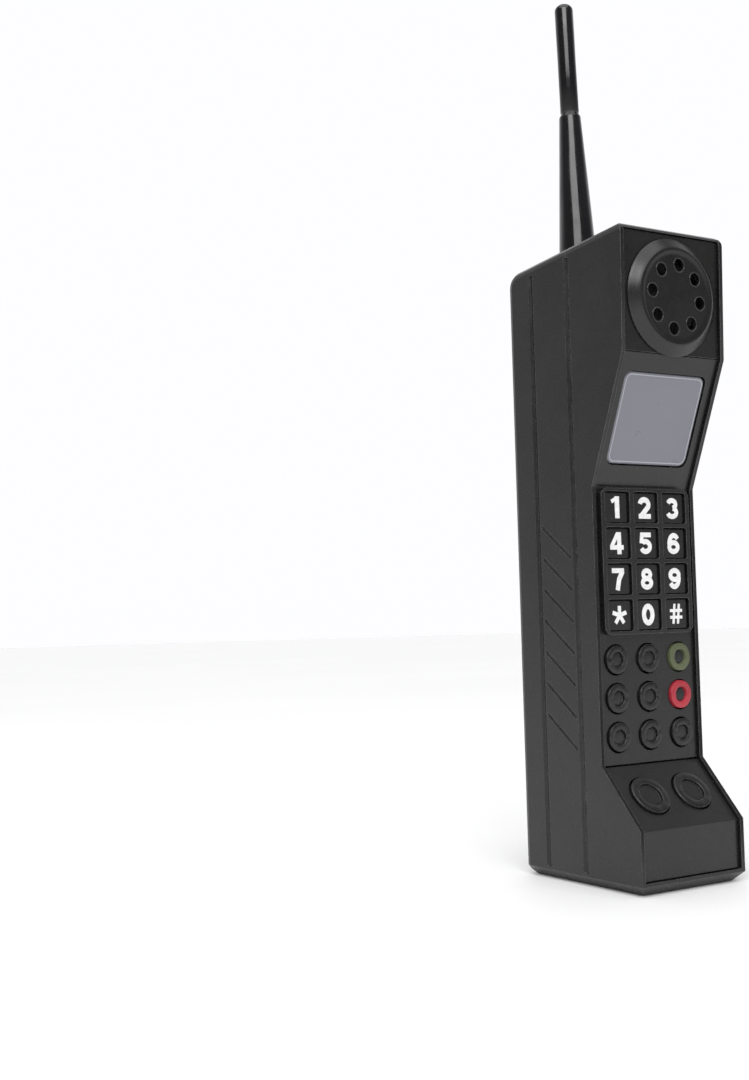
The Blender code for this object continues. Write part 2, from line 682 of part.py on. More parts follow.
def large_buttons(panel):
    profile = ring_profile(BIG_RING_RADIUS, BIG_RING_HOLE, RING_PROUD)
    hole = rod("large_hole", BIG_RING_RADIUS + GAP, -FAR / 10, FAR / 10, sides=24)
    places = grid(2, 1, BIG_RING_APART, 0, BIG_RING_DOWN)
    for side, spot in zip(("left", "right"), places):
        cut(panel, add(f"large_hole_{side}", hole, frame=slope_face, place=spot))
        turned(f"large_button_{side}", profile, BLACK, slope_face, spot - Vector((0, 0, RECESS)), steps=24)


def mat_and_board(label, frame, width, height, down, domes):
    """A rubber mat with one dome under each button, and the circuit board that it lies on."""
    place = Vector((0, -down, 0))
    top = -(RECESS + PANEL + GAP + RING_BASE + KEY_TRAVEL + GAP + DOME_TALL)
    sheet = slab(f"{label}_mat", width, height, top - MAT, top, 2 * MM, 3)
    mat = add(f"{label}_mat", sheet, RUBBER, frame, place)
    for i, spot in enumerate(domes, 1):
        shape = bmesh.new()
        foot, tip, tall = DOME_RADIUS, 0.6 * DOME_RADIUS, 2 * DOME_TALL
        bmesh.ops.create_cone(shape, cap_ends=True, segments=8, radius1=foot, radius2=tip, depth=tall)
        dome = to_mesh("dome", shape)
        cut(mat, add(f"{label}_dome_{i}", dome, frame=frame, place=spot + Vector((0, 0, top))), "UNION")
    face = top - MAT - GAP
    board = slab(f"{label}_board", width, height, face - BOARD, face)
    add(f"{label}_board", board, BOARD_GREEN, frame, place)
    return face - BOARD


def electronics():
    keys = list(grid(3, 4, KEY_PITCH_X, KEY_PITCH_Z, BEZEL_DOWN))
    rings = list(grid(3, 3, RING_PITCH_X, RING_PITCH_Z, RING_DOWN))
    board_back = mat_and_board("main", key_face, 40.0 * MM, 88.0 * MM, 49.0 * MM, keys + rings)
    chip = slab("sound_chip", 9.0 * MM, 9.0 * MM, board_back - GAP - 1.5 * MM, board_back - GAP, 1.5 * MM, 2)
    add("sound_chip", chip, GLOSS_BLACK, key_face, (0, -82.0 * MM, 0))
    buttons = list(grid(2, 1, BIG_RING_APART, 0, BIG_RING_DOWN))
    mat_and_board("slope", slope_face, 40.0 * MM, 19.0 * MM, 15.5 * MM, buttons)


# ---------------------------------------------------------------- batteries

def spring_curve(name, radius, low, high, turns, wire):
    """A conical battery spring on the local Z axis, as a POLY curve."""
    curve = bpy.data.curves.new(name, "CURVE")
    curve.dimensions = "3D"
    curve.bevel_depth = wire
    curve.bevel_resolution = 1
    curve.use_fill_caps = True
    steps = turns * 8
    line = curve.splines.new("POLY")
    line.points.add(steps)
    for i, point in enumerate(line.points):
        share = i / steps
        angle = share * turns * 2 * math.pi
        reach = radius * (1 - 0.45 * share)
        level = low + (high - low) * share
        point.co = (reach * math.cos(angle), reach * math.sin(angle), level, 1)
    return curve


def batteries(rear):
    """The holder behind the back wall, its cells and contacts, and the door."""
    middle = DOOR_BOTTOM + DOOR_HEIGHT / 2
    frame = axis_frame("battery_axis", 0, 0, middle)  # local Z to the back, local Y down
    opening = slab("opening", DOOR_WIDTH + 2 * GAP, DOOR_HEIGHT + 2 * GAP, -WALL - 1 * MM, FAR / 10)
    cut(rear, add("door_opening", opening, frame=frame))

    width, height = DOOR_WIDTH + 5 * MM, DOOR_HEIGHT + 5 * MM
    flange = slab("battery_holder", width, height, -HOLDER_FLANGE - HOLDER_SKIN, -HOLDER_FLANGE)
    holder = add("battery_holder", flange, BLACK, frame)
    outside = slab("box", HOLDER_WIDTH, HOLDER_HEIGHT, -HOLDER_FRONT, -HOLDER_FLANGE - HOLDER_SKIN / 2)
    cut(holder, add("holder_box", outside, frame=frame), "UNION")
    width, height = HOLDER_WIDTH - 2 * HOLDER_SKIN, HOLDER_HEIGHT - 2 * HOLDER_SKIN
    inside = slab("inside", width, height, -HOLDER_FRONT + HOLDER_SKIN, FAR / 10)
    cut(holder, add("holder_inside", inside, frame=frame))

    cell_y = BACK_Y - HOLDER_FRONT + HOLDER_SKIN + CELL_RADIUS + GAP
    for i in range(CELLS):
        x = (i - (CELLS - 1) / 2) * CELL_PITCH
        up = 1 if i % 2 == 0 else -1
        axis = bpy.data.objects.new(f"cell_axis_{i + 1}", None)
        axis.location = (x, cell_y, middle)
        axis.rotation_euler = (0, 0 if up > 0 else math.pi, 0)
        parts.objects.link(axis)
        end = height / 2
        plate = block("plate", (-4.2 * MM, -4.2 * MM, end - 0.8 * MM), (4.2 * MM, 4.2 * MM, end - GAP))
        add(f"battery_contact_{i + 1}", plate, BRASS, axis)
        nib = end - 0.8 * MM - GAP
        shoulder = nib - 1.0 * MM
        foot = nib - CELL_LONG
        profile = [
            (0, nib),
            (1.9 * MM, nib),
            (1.9 * MM, shoulder),
            (CELL_RADIUS - 0.5 * MM, shoulder),
            (CELL_RADIUS, shoulder - 0.5 * MM),
            (CELL_RADIUS, foot + 0.4 * MM),
            (CELL_RADIUS - 0.4 * MM, foot),
            (0, foot),
        ]
        turned(f"battery_cell_{i + 1}", profile, CELL_BLUE, axis, steps=16)
        wire = 0.35 * MM
        coil = spring_curve("coil", 3.8 * MM, -end + GAP + wire, foot - GAP - wire, 3, wire)
        add(f"battery_spring_{i + 1}", coil, STEEL, axis)


def battery_door():
    """A snap-in door. Its origin is on its lower outer edge, which it swings about."""
    hinge = world_point(0, 0, DOOR_BOTTOM)
    inner = -DOOR_THICK
    shape_low, shape_high = (-DOOR_WIDTH / 2, inner, 0), (DOOR_WIDTH / 2, 0, DOOR_HEIGHT)
    door = add("battery_door", block("battery_door", shape_low, shape_high), BLACK, place=hinge)
    tip = inner - 1.9 * MM
    for side, x in (("left", -12 * MM), ("right", 12 * MM)):
        low, high = x - 3 * MM, x + 3 * MM
        stem = block("tab_stem", (low, tip, 0.1 * MM), (high, inner + 1 * MM, 1.5 * MM))
        cut(door, add(f"door_stem_{side}", stem, place=hinge), "UNION")
        toe = block("tab_toe", (low, tip, -1.2 * MM), (high, tip + 1.1 * MM, 1.0 * MM))
        cut(door, add(f"door_toe_{side}", toe, place=hinge), "UNION")
    latch_low = (-5 * MM, tip, DOOR_HEIGHT - 3.2 * MM)
    latch_high = (5 * MM, inner + 1 * MM, DOOR_HEIGHT - 2.0 * MM)
    cut(door, add("door_latch", block("latch", latch_low, latch_high), place=hinge), "UNION")
    thumb = rod("thumb", 7.0 * MM, -9 * MM, 9 * MM, sides=32)
    dish = add("door_thumb_dish", thumb, place=hinge + Vector((0, 6.1 * MM, DOOR_HEIGHT - 9.0 * MM)))
    dish.rotation_euler = (0, math.pi / 2, 0)
    cut(door, dish)


# ---------------------------------------------------------------- antenna

def antenna(rear):
    """A tapered sleeve nutted to the top of the rear half, and the rod that slides in it."""
    slope = math.atan2(CROWN[1] - NAPE[1], CROWN[0])
    roof = NAPE[1] + math.tan(slope) * ANTENNA_DEPTH
    base = world_point(ANTENNA_X, ANTENNA_DEPTH, roof)
    axis = bpy.data.objects.new("antenna_axis", None)
    axis.location = base
    axis.rotation_euler = (-ANTENNA_LEAN, 0, 0)
    parts.objects.link(axis)

    foot = -1.5 * MM  # the sleeve runs below its seat and is cut off level with the roof
    taper = (SLEEVE_FOOT_RADIUS - SLEEVE_TOP_RADIUS) / SLEEVE_TALL
    profile = [
        (0, SLEEVE_BORE_FLOOR),
        (SLEEVE_BORE, SLEEVE_BORE_FLOOR),
        (SLEEVE_BORE, SLEEVE_TALL),
        (SLEEVE_TOP_RADIUS - 0.15 * MM, SLEEVE_TALL),
        (SLEEVE_TOP_RADIUS, SLEEVE_TALL - 0.5 * MM),
        (SLEEVE_FOOT_RADIUS, 0),
        (SLEEVE_FOOT_RADIUS - foot * taper, foot),
        (0, foot),
    ]
    sleeve = turned("antenna_sleeve", profile, GLOSS_BLACK, axis, steps=28)
    below = block("below_roof", (-FAR / 4, -FAR / 4, -FAR / 4), (FAR / 4, FAR / 4, GAP))
    roof_cut = add("roof_cut", below, place=base)
    roof_cut.rotation_euler = (-slope, 0, 0)
    cut(sleeve, roof_cut)
    stud = add("stud", rod("stud", STUD_RADIUS, -STUD_LONG, 2 * MM, sides=24), frame=axis)
    cut(sleeve, stud, "UNION")
    cut(rear, add("antenna_hole", rod("hole", STUD_RADIUS + GAP, -FAR / 10, FAR / 20, sides=24), frame=axis))

    nut_top = -WALL - 1.6 * MM
    shape = bmesh.new()
    bmesh.ops.create_cone(
        shape, cap_ends=True, segments=6, radius1=7.0 * MM, radius2=7.0 * MM, depth=3.0 * MM
    )
    bmesh.ops.translate(shape, vec=(0, 0, nut_top - 1.5 * MM), verts=shape.verts)
    nut = add("antenna_nut", to_mesh("antenna_nut", shape), BRASS, axis)
    cut(nut, add("nut_hole", rod("hole", STUD_RADIUS + GAP, -FAR / 10, FAR / 10, sides=24), frame=axis))

    start = SLEEVE_TALL - ROD_HIDDEN
    tip = SLEEVE_TALL + ROD_SHOWN
    dome = [
        (ROD_RADIUS * math.sin(angle), tip - ROD_RADIUS * 0.8 * (1 - math.cos(angle)))
        for angle in (math.pi / 2 * i / 5 for i in range(6))
    ]
    ring = SLEEVE_TALL + 1.2 * MM
    profile = [
        *dome,
        (ROD_RADIUS, ring + 0.35 * MM),
        (ROD_RADIUS - 0.2 * MM, ring),
        (ROD_RADIUS, ring - 0.35 * MM),
        (ROD_RADIUS, start),
        (0, start),
    ]
    turned("antenna_rod", profile, GLOSS_BLACK, axis, steps=24)


front_half, rear_half = housing()
fasten(front_half, rear_half)
ear_panel, main_panel, lower_panel = panels()
earpiece(ear_panel)
display(main_panel)
number_keys(main_panel)
ring_buttons(main_panel)
large_buttons(lower_panel)
electronics()
batteries(rear_half)
battery_door()
antenna(rear_half)
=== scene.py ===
import json
import math

import bmesh
import bpy
from mathutils import Matrix, Vector, noise


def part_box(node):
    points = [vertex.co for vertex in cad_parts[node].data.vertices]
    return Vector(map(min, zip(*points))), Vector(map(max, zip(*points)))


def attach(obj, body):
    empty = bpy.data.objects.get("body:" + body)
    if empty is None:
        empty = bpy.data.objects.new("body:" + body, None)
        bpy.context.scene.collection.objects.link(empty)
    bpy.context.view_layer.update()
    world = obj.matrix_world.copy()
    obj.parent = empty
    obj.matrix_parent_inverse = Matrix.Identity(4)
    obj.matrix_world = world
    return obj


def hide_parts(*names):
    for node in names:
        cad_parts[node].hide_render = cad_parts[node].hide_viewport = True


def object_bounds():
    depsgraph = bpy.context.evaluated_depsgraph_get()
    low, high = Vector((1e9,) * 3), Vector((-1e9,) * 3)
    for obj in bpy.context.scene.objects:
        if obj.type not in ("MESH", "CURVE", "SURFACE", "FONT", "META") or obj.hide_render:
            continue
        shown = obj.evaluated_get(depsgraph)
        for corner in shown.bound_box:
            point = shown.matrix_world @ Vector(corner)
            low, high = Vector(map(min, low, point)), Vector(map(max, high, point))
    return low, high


MM = 0.001

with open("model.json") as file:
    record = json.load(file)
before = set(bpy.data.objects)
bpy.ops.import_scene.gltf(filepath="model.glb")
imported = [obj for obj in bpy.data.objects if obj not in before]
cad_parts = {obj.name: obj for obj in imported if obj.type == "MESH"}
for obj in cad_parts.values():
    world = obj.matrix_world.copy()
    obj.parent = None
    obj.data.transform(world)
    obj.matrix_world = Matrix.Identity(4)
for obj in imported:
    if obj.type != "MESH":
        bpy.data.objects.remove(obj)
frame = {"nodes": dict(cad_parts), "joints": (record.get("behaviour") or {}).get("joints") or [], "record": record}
cad_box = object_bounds()
nodes = frame["nodes"]
slots = {row["node"]: row["material_slot"] for row in frame["record"]["subparts"]}
bodies = frame["record"]["behaviour"]["bodies"]
body_of = {node: body for body, members in bodies.items() for node in members}
joint_axis = {joint["child"]: Vector(joint["axis"]) for joint in frame["joints"]}

KEYS = ("1", "2", "3", "4", "5", "6", "7", "8", "9", "star", "0", "hash")
SMALL_BUTTONS = [f"function_button_{i}" for i in range(1, 10)]
LARGE_BUTTONS = ["large_button_left", "large_button_right"]

# Numerals
NUMERAL_TALL = 8.0 * MM
NUMERAL_STROKE = 0.25  # a share of their height
NUMERAL_LIFT = 0.03 * MM

RING_TALL = 1.1 * MM  # how far a button's ring stands out of the panel
SHARP = math.radians(28)  # an edge that turns further than this is cut back
SEAM = 0.8 * MM  # how far the panels are cut back where they meet
SEAM_DEEP = 1.0 * MM

PANE_RIDGE_IN = 1.1 * MM
PANE_RIDGE_ROUND = 2.3 * MM

# Sound holes in the earpiece
EAR_HOLES = 8
EAR_HOLE = 2.3 * MM
EAR_HOLE_CIRCLE = 11.6 * MM
EAR_HOLE_TURN = math.radians(-7)

# Camera, as the photograph was taken
CAMERA_PLACE = (-0.3687, -0.4025, 0.0992)
CAMERA_AZIMUTH = math.radians(32.68)
CAMERA_ELEVATION = math.radians(3.0)
CAMERA_ROLL = math.radians(-1.56)
CAMERA_LENS = 48.0

# Brightness of the surroundings
BACKDROP = 1.0
ROOM = 0.57
ROOM_ABOVE = 0.14

# Lamps
OVERHEAD_PLACE = (-0.5, -0.6, 2.0)
OVERHEAD_STRENGTH = 2.3
OVERHEAD_SPREAD = math.radians(80)
SOFTBOX_PLACE = (-0.72, -0.86, 0.98)
SOFTBOX_AIM_UP = 0.08
SOFTBOX_POWER = 9.0
SOFTBOX_SIZE = (1.0, 0.62)

FLOOR_RADIUS = 6.0
FLOOR_DROP = 0.1 * MM  # keeps the floor clear of the foot


# ---------------------------------------------------------------- materials

class Nodes:
    """Builds one node material: each call adds a node and returns it."""

    def __init__(self, name, colour, roughness, metallic=0.0, specular=0.5, coat=0.0):
        self.material = bpy.data.materials.new(name)
        self.material.use_nodes = True
        self.tree = self.material.node_tree
        self.shader = self.tree.nodes["Principled BSDF"]
        self.shader.inputs["Base Color"].default_value = (*colour, 1)
        self.shader.inputs["Roughness"].default_value = roughness
        self.shader.inputs["Metallic"].default_value = metallic
        self.shader.inputs["Specular IOR Level"].default_value = specular
        self.shader.inputs["Coat Weight"].default_value = coat
        self.shader.inputs["Coat Roughness"].default_value = 0.12
        self.place = self.tree.nodes.new("ShaderNodeTexCoord").outputs["Object"]

    def link(self, source, target):
        self.tree.links.new(source, target)

    def scaled(self, scale):
        """The place, stretched along the axes."""
        node = self.tree.nodes.new("ShaderNodeMapping")
        node.inputs["Scale"].default_value = scale
        self.link(self.place, node.inputs["Vector"])
        return node.outputs["Vector"]

    def noise(self, scale, detail=2.0, roughness=0.5, place=None):
        node = self.tree.nodes.new("ShaderNodeTexNoise")
        node.inputs["Scale"].default_value = scale
        node.inputs["Detail"].default_value = detail
        node.inputs["Roughness"].default_value = roughness
        self.link(place or self.place, node.inputs["Vector"])
        return node.outputs["Fac"]

    def ramp(self, value, stops):
        """A colour ramp with (position, grey or colour) stops."""
        node = self.tree.nodes.new("ShaderNodeValToRGB")
        self.link(value, node.inputs["Fac"])
        elements = node.color_ramp.elements
        while len(elements) < len(stops):
            elements.new(0.5)
        for element, (position, tone) in zip(elements, stops):
            element.position = position
            element.color = (tone, tone, tone, 1) if isinstance(tone, (int, float)) else (*tone, 1)
        return node.outputs["Color"]

    def range(self, value, low, high, start=0.3, end=0.7):
        node = self.tree.nodes.new("ShaderNodeMapRange")
        self.link(value, node.inputs["Value"])
        for key, number in (("From Min", start), ("From Max", end), ("To Min", low), ("To Max", high)):
            node.inputs[key].default_value = number
        return node.outputs["Result"]

    def mix(self, factor, first, second, blend="MIX"):
        node = self.tree.nodes.new("ShaderNodeMix")
        node.data_type = "RGBA"
        node.blend_type = blend
        sockets = (node.inputs["Factor"], node.inputs[6], node.inputs[7])
        for socket, value in zip(sockets, (factor, first, second)):
            if isinstance(value, bpy.types.NodeSocket):
                self.link(value, socket)
            elif isinstance(value, (int, float)):
                socket.default_value = value
            else:
                socket.default_value = (*value, 1)
        return node.outputs[2]

    def multiply(self, first, second):
        node = self.tree.nodes.new("ShaderNodeMath")
        node.operation = "MULTIPLY"
        self.link(first, node.inputs[0])
        self.link(second, node.inputs[1])
        return node.outputs["Value"]

    def rounded(self, radius):
        """Normals that round every edge off, and how far along its edges a surface turns, from 0 to 1."""
        round_edge = self.tree.nodes.new("ShaderNodeBevel")
        round_edge.samples = 6
        round_edge.inputs["Radius"].default_value = radius
        turn = self.tree.nodes.new("ShaderNodeVectorMath")
        turn.operation = "DOT_PRODUCT"
        self.link(round_edge.outputs["Normal"], turn.inputs[0])
        self.link(self.tree.nodes.new("ShaderNodeNewGeometry").outputs["Normal"], turn.inputs[1])
        return round_edge.outputs["Normal"], self.range(turn.outputs["Value"], 1.0, 0.0, 0.72, 0.97)

    def bump(self, height, distance, strength=1.0, below=None):
        node = self.tree.nodes.new("ShaderNodeBump")
        node.inputs["Distance"].default_value = distance
        node.inputs["Strength"].default_value = strength
        self.link(height, node.inputs["Height"])
        if below:
            self.link(below, node.inputs["Normal"])
        return node.outputs["Normal"]

    def finish(self, colour=None, roughness=None, normal=None):
        for socket, value in (("Base Color", colour), ("Roughness", roughness), ("Normal", normal)):
            if value:
                self.link(value, self.shader.inputs[socket])
        return self.material


def moulded_plastic(name, colour, roughness, edge=0.4 * MM, edge_wear_and_highlight=0.05, wave=0.05 * MM, dust=0.03):
    """Moulded plastic: rounded edges painted lighter, partly as wear and partly as a painted highlight where edges
    catch the light, slow waves, fine grain, marks and a little dust.
    """
    n = Nodes(name, colour, roughness)
    broad = n.noise(38, 3)
    fine = n.noise(2600, 2)
    marks = n.noise(170, 5, 0.7)
    tone = n.ramp(broad, [(0.3, [c * 0.8 for c in colour]), (0.72, [c * 1.25 for c in colour])])
    specks = n.range(n.noise(900, 4, 0.75), 0.0, dust, 0.6, 0.78)
    dusty = n.mix(specks, tone, (0.42, 0.41, 0.39))
    rounded, turned = n.rounded(edge)
    patches = n.range(n.noise(300, 3, 0.6), 0.35, 1.0, 0.35, 0.6)
    # Edges are painted lighter in patches: part wear, part a painted highlight standing in for light caught along
    # the edges.
    lightened = n.mix(n.multiply(turned, patches), dusty, [c + edge_wear_and_highlight for c in colour])
    rough = n.range(marks, roughness * 0.82, roughness * 1.2)
    waves = n.bump(n.noise(55, 1), wave, below=rounded)
    return n.finish(lightened, rough, n.bump(fine, 0.006 * MM, below=waves))


def antenna_plastic(name, colour):
    """Thin glossy plastic drawn over a core: long uneven ridges along the antenna."""
    n = Nodes(name, colour, 0.15, coat=0.1)
    streaks = n.noise(130, 2, 0.5, n.scaled((1, 1, 0.12)))
    lumps = n.noise(60, 1)
    tone = n.ramp(streaks, [(0.3, [c * 0.7 for c in colour]), (0.7, [c * 1.5 for c in colour])])
    rough = n.range(n.noise(300, 4), 0.09, 0.22)
    waves = n.bump(streaks, 0.35 * MM)
    return n.finish(tone, rough, n.bump(lumps, 0.55 * MM, below=waves))


def display_pane(name, colour):
    """A printed lavender-grey film behind a clear gloss."""
    n = Nodes(name, colour, 0.32, coat=0.35)
    cloud = n.noise(30, 3)
    tone = n.ramp(cloud, [(0.25, [c * 0.94 for c in colour]), (0.75, [c * 1.06 for c in colour])])
    grain = n.mix(n.range(n.noise(3000, 2), 0.0, 0.12), tone, [c * 1.3 for c in colour])
    rough = n.range(n.noise(120, 4), 0.26, 0.4)
    return n.finish(grain, rough, n.bump(n.noise(70, 1), 0.03 * MM))


def printed_white(name):
    """Thick white print, a little uneven."""
    n = Nodes(name, (0.82, 0.82, 0.83), 0.45)
    tone = n.ramp(n.noise(500, 4), [(0.3, 0.74), (0.7, 0.88)])
    return n.finish(tone, n.range(n.noise(900, 2), 0.38, 0.55), n.bump(n.noise(1800, 3), 0.01 * MM))


def rubber(name, colour):
    n = Nodes(name, colour, 0.8, specular=0.3)
    tone = n.ramp(n.noise(120, 4), [(0.3, [c * 0.8 for c in colour]), (0.7, [c * 1.2 for c in colour])])
    return n.finish(tone, n.range(n.noise(600, 2), 0.72, 0.9), n.bump(n.noise(3000, 2), 0.01 * MM))


def circuit_board(name, colour):
    """Green solder resist over copper tracks, with the weave of the board below."""
    n = Nodes(name, colour, 0.4, coat=0.2)
    tracks = n.tree.nodes.new("ShaderNodeTexBrick")
    tracks.inputs["Scale"].default_value = 220
    tracks.inputs["Mortar Size"].default_value = 0.06
    n.link(n.place, tracks.inputs["Vector"])
    lines = n.mix(tracks.outputs["Fac"], colour, [c * 1.9 for c in colour])
    tone = n.mix(n.range(n.noise(400, 3), 0.0, 0.5), lines, [c * 0.6 for c in colour])
    return n.finish(tone, n.range(n.noise(500, 2), 0.3, 0.5), n.bump(tracks.outputs["Fac"], 0.03 * MM))


def metal(name, colour, roughness, brushed=(1, 1, 1)):
    """Plated metal with fine brushing and a few tarnished spots."""
    n = Nodes(name, colour, roughness, metallic=1.0)
    brushing = n.noise(1500, 4, 0.7, n.scaled(brushed))
    spots = n.range(n.noise(180, 4, 0.6), 0.0, 0.45, 0.55, 0.75)
    tone = n.mix(spots, colour, [c * 0.55 for c in colour])
    return n.finish(tone, n.range(brushing, roughness * 0.7, roughness * 1.4), n.bump(brushing, 0.008 * MM))


def cell_sleeve(name, colour, metallic=0.0):
    """The thin printed sleeve of a dry cell, scuffed where it has rubbed."""
    n = Nodes(name, colour, 0.3, metallic=metallic, coat=0.4)
    tone = n.ramp(n.noise(60, 3), [(0.3, [c * 0.85 for c in colour]), (0.7, [c * 1.15 for c in colour])])
    lightened = n.mix(n.range(n.noise(700, 4), 0.0, 0.25, 0.6, 0.8), tone, (0.5, 0.5, 0.52))
    return n.finish(lightened, n.range(n.noise(300, 3), 0.22, 0.4), n.bump(n.noise(900, 2), 0.01 * MM))


def cone_paper(name, colour):
    n = Nodes(name, colour, 0.9, specular=0.2)
    fibres = n.noise(1200, 5, 0.7, n.scaled((1, 1, 0.4)))
    tone = n.ramp(fibres, [(0.3, [c * 0.7 for c in colour]), (0.7, [c * 1.5 for c in colour])])
    return n.finish(tone, n.range(fibres, 0.8, 0.95), n.bump(fibres, 0.04 * MM))


def floor_finish(name):
    n = Nodes(name, (0.8, 0.8, 0.8), 0.6)
    tone = n.ramp(n.noise(3, 4), [(0.3, 0.88), (0.7, 0.9)])
    return n.finish(tone, normal=n.bump(n.noise(900, 2), 0.01 * MM))


def make_finishes():
    colours = {row["slot"]: row["base_color"][:3] for row in frame["record"]["materials"]}
    return {
        # The edge amount sets how much lighter the edges are painted: part wear, part painted highlight.
        "satin_black": moulded_plastic("satin_black_plastic", (0.009, 0.0087, 0.0087), 0.27, edge_wear_and_highlight=0.17),
        "panel_black": moulded_plastic("panel_black_plastic", (0.0105, 0.0101, 0.0097), 0.29, edge_wear_and_highlight=0.11),
        "gloss_black": antenna_plastic("gloss_black_plastic", (0.0065, 0.0065, 0.0075)),
        "window_grey": display_pane("display_pane", (0.172, 0.172, 0.205)),
        "olive_green": moulded_plastic("olive_green_plastic", (0.088, 0.102, 0.05), 0.42, edge_wear_and_highlight=0.03),
        "signal_red": moulded_plastic("signal_red_plastic", (0.39, 0.026, 0.042), 0.36, dust=0.01),
        "grey_rubber": rubber("grey_rubber", colours["grey_rubber"]),
        "board_green": circuit_board("board_green", colours["board_green"]),
        "zinc_steel": metal("zinc_steel", (0.62, 0.63, 0.65), 0.28, (1, 1, 6)),
        "brass": metal("brass", (0.72, 0.52, 0.22), 0.25),
        "cell_sleeve": cell_sleeve("cell_sleeve", (0.03, 0.05, 0.16)),
        "cone_paper": cone_paper("cone_paper", colours["cone_paper"]),
    }


finishes = make_finishes()
print_white = printed_white("printed_white")
cell_band = cell_sleeve("cell_band", (0.55, 0.28, 0.12), metallic=0.6)
# A lighter grey for the display's ridge: a painted highlight along the pane's inner edge.
pane_edge_highlight = display_pane("display_edge_highlight", (0.4, 0.4, 0.44))


# ---------------------------------------------------------------- helpers

def new_piece(name, shape, material, smooth_angle=35):
    """An object of this shape, shaded smooth up to an angle."""
    bmesh.ops.recalc_face_normals(shape, faces=shape.faces)
    mesh = bpy.data.meshes.new(name)
    shape.to_mesh(mesh)
    shape.free()
    mesh.materials.append(material)
    mesh.shade_smooth()
    mesh.set_sharp_from_angle(angle=math.radians(smooth_angle))
    piece = bpy.data.objects.new(name, mesh)
    bpy.context.scene.collection.objects.link(piece)
    return piece


def flat_faces(piece):
    """Keeps large faces flat in the shading, with the turn in the small faces beside them."""
    weighted = piece.modifiers.new("flat faces", "WEIGHTED_NORMAL")
    weighted.keep_sharp = True


def stands_for(piece, node):
    """This piece is shown in place of a CAD node, on its body."""
    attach(piece, body_of[node])
    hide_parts(node)


def flat_front(node):
    """The centre and the normal of a node's largest flat surface that faces the front."""
    groups = {}
    for face in nodes[node].data.polygons:
        if face.normal.y < -0.3:
            groups.setdefault(tuple(round(x, 2) for x in face.normal), []).append(face)
    faces = max(groups.values(), key=lambda group: sum(face.area for face in group))
    area = sum(face.area for face in faces)
    centre = sum((face.center * face.area for face in faces), Vector()) / area
    normal = sum((face.normal * face.area for face in faces), Vector()).normalized()
    return centre, normal


def facing(centre, normal):
    """A frame with X across the handset, Y up along the surface and Z out of it."""
    across = Vector((1, 0, 0))
    up = normal.cross(across)
    return Matrix.Translation(centre) @ Matrix((across, up, normal)).transposed().to_4x4()


def extent_of(node, place):
    """How far a node reaches along each of a frame's axes."""
    inverse = place.inverted()
    corners = [inverse @ vert.co for vert in nodes[node].data.vertices]
    return Vector([max(corner[i] for corner in corners) for i in range(3)])


def level_of(node, place):
    """How far a node reaches along a frame's Z."""
    inverse = place.inverted()
    return max((inverse @ vert.co).z for vert in nodes[node].data.vertices)


def reach_of(node, place):
    """A node's largest distance from a frame's Z axis."""
    inverse = place.inverted()
    return max((inverse @ vert.co).xy.length for vert in nodes[node].data.vertices)


def eased(node, width=0, segments=2, smooth_angle=16):
    """The CAD node with its flat faces made whole. Given a width, its sharp edges are cut back."""
    shape = bmesh.new()
    shape.from_mesh(nodes[node].data)
    bmesh.ops.remove_doubles(shape, verts=shape.verts, dist=0.002 * MM)
    limit = math.radians(0.6)
    bmesh.ops.dissolve_limit(shape, angle_limit=limit, verts=shape.verts, edges=shape.edges)
    if width:
        edges = [e for e in shape.edges if e.is_manifold and e.calc_face_angle() > SHARP]
        bmesh.ops.bevel(
            shape,
            geom=edges,
            offset=width,
            segments=segments,
            profile=0.5,
            affect="EDGES",
            clamp_overlap=True,
        )
    piece = new_piece(f"{node}_shell", shape, finishes[slots[node]], smooth_angle)
    flat_faces(piece)
    stands_for(piece, node)
    return piece


def spun(name, profile, place, material, steps=96):
    """A piece turned from (radius, level) points about a frame's Z axis."""
    shape = bmesh.new()
    rings = []
    for radius, level in profile:
        if radius == 0:
            rings.append([shape.verts.new((0, 0, level))])
            continue
        ring = []
        for i in range(steps):
            angle = 2 * math.pi * i / steps
            ring.append(shape.verts.new((radius * math.cos(angle), radius * math.sin(angle), level)))
        rings.append(ring)
    for upper, lower in zip(rings, rings[1:]):
        for i in range(steps):
            corners = [upper[i % len(upper)], upper[(i + 1) % len(upper)]]
            corners += [lower[(i + 1) % len(lower)], lower[i % len(lower)]]
            shape.faces.new(list(dict.fromkeys(corners)))
    piece = new_piece(name, shape, material)
    piece.matrix_world = place
    return piece


def arc(centre, radii, start, end, steps=12):
    """Points of an elliptical arc between two angles in degrees."""
    points = []
    for i in range(steps + 1):
        angle = math.radians(start + (end - start) * i / steps)
        x = centre[0] + radii[0] * math.cos(angle)
        y = centre[1] + radii[1] * math.sin(angle)
        points.append(Vector((x, y)))
    return points


def cut_through(piece, cutter_shape):
    """Takes a shape away from a piece with a Boolean, and applies it."""
    cutter = new_piece(f"{piece.name}_cutter", cutter_shape, piece.data.materials[0])
    cutter.matrix_world = piece.matrix_world
    change = piece.modifiers.new("cut", "BOOLEAN")
    change.object = cutter
    change.solver = "EXACT"
    bpy.context.view_layer.update()
    evaluated = piece.evaluated_get(bpy.context.evaluated_depsgraph_get())
    mesh = bpy.data.meshes.new_from_object(evaluated)
    piece.modifiers.clear()
    bpy.data.objects.remove(cutter)
    shape = bmesh.new()
    shape.from_mesh(mesh)
    bmesh.ops.dissolve_limit(shape, angle_limit=math.radians(0.5), verts=shape.verts, edges=shape.edges)
    shape.to_mesh(mesh)
    shape.free()
    mesh.shade_smooth()
    mesh.set_sharp_from_angle(angle=math.radians(35))
    piece.data = mesh
    flat_faces(piece)


def cut_back(panel, edge):
    """Cuts a shallow step along a panel's edge, which runs along the frame's X axis."""
    shape = bmesh.new()
    bmesh.ops.create_cube(shape, size=1, matrix=edge @ Matrix.Diagonal((0.1, 2 * SEAM, 2 * SEAM_DEEP, 1)))
    cut_through(panel, shape)


# ---------------------------------------------------------------- housing and panels

